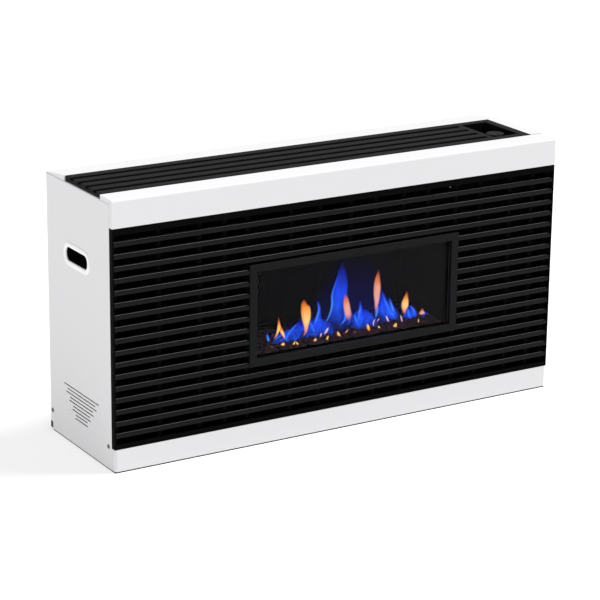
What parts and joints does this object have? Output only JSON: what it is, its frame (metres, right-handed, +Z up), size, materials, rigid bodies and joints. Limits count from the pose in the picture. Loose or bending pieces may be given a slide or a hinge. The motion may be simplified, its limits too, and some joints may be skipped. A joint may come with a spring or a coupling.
{
  "type": "wall mounted gas heater",
  "caption": "Wide white wall heater with a black slatted front, a framed flame window, a slotted top outlet with recessed controls and side grips.",
  "frame": {"origin": "middle of the footprint's bounding box, on the ground under the base tray's skids", "axes": "+Z up; X along the width, +X to the right seen from the front; the front grille faces -Y and the wall is at +Y"},
  "size_m": [1.004, 0.306, 0.5325],
  "materials": {
    "white_enamel": "smooth white powder coat, satin",
    "black_grille": "black powder coat, satin",
    "black_bezel": "black powder coat, fine satin",
    "heat_black": "matt black heat-proof paint",
    "galvanised": "hot-dip galvanised sheet",
    "stainless": "stainless sheet, mill finish",
    "alloy": "die-cast aluminium, sand-blasted",
    "aluminium_tube": "drawn aluminium tube",
    "brass": "machined brass",
    "copper": "drawn copper",
    "ceramic_glass": "clear ceramic glass, grey by depth",
    "fibre_seal": "woven glass-fibre tape",
    "foam_seal": "closed-cell silicone foam",
    "rubber_black": "black rubber",
    "ceramic_white": "glazed alumina",
    "ember_ceramic": "dark ceramic embers",
    "black_plastic": "fine-grained black moulding",
    "white_plastic": "white moulding",
    "grey_plastic": "grey moulding",
    "zinc_screw": "bright zinc",
    "dull_screw": "dull plated screw head",
    "spring_steel": "spring wire",
    "silicone": "black silicone sleeve"
  },
  "bodies": {
    "heater": {"left_side_panel": "white_enamel", "right_side_panel": "white_enamel", "top_fascia": "white_enamel", "bottom_fascia": "white_enamel", "rear_rail": "white_enamel", "outlet_grille": "black_grille", "control_well": "black_plastic", "grille_frame": "black_grille", "grille_slats": "black_grille", "grille_ribs": "black_grille", "window_bezel": "black_bezel", "window_glass": "ceramic_glass", "glass_seal": "fibre_seal", "glass_retainer": "stainless", "retainer_screws": "zinc_screw", "base_tray": "heat_black", "back_plate": "heat_black", "upper_rail": "heat_black", "wall_bracket": "galvanised", "wall_buffers": "rubber_black", "firebox": "heat_black", "firebox_legs": "heat_black", "firebox_fins": "heat_black", "flue_baffle": "heat_black", "air_duct": "heat_black", "flue_pipe": "stainless", "air_pipe": "galvanised", "flue_seal": "foam_seal", "heat_shield": "heat_black", "burner_tube": "stainless", "burner_cradles": "stainless", "injector_holder": "heat_black", "injector": "brass", "ember_tray": "heat_black", "ember_stones": "ember_ceramic", "pilot_burner": "stainless", "spark_electrode": "ceramic_white", "thermocouple": "copper", "gland_plate": "heat_black", "gas_valve": "alloy", "valve_bracket": "heat_black", "feed_pipe": "aluminium_tube", "inlet_pipe": "heat_black", "inlet_fitting": "brass", "pilot_pipe": "aluminium_tube", "ignition_lead": "silicone", "thermostat_bulb": "copper", "bulb_clips": "spring_steel", "return_spring": "spring_steel", "igniter_body": "black_plastic", "igniter_nut": "black_plastic", "button_spring": "spring_steel", "grip_rings": "white_plastic", "grip_cups": "black_plastic", "panel_screws": "dull_screw", "tray_screws": "zinc_screw"},
    "push_collar": {"push_collar": "stainless"},
    "knob": {"control_knob": "black_plastic", "valve_spindle": "brass"},
    "ignition_button": {"ignition_button": "grey_plastic"}
  },
  "joints": [
    {"name": "knob_push", "type": "slide", "parent": "heater", "child": "push_collar", "axis": [0, 0, -1], "range_m": [0, 0.004], "stiffness_N_per_m": 500, "springref_m": -0.012, "deforming": ["return_spring"]},
    {"name": "knob_turn", "type": "hinge", "parent": "push_collar", "child": "knob", "pos_m": [0.424, -0.049, 0.5075], "axis": [0, 0, 1], "range_deg": [0, 290]},
    {"name": "button_push", "type": "slide", "parent": "heater", "child": "ignition_button", "axis": [0, 0, -1], "range_m": [0, 0.006], "stiffness_N_per_m": 1500, "springref_m": -0.004, "deforming": ["button_spring"]}
  ]
}
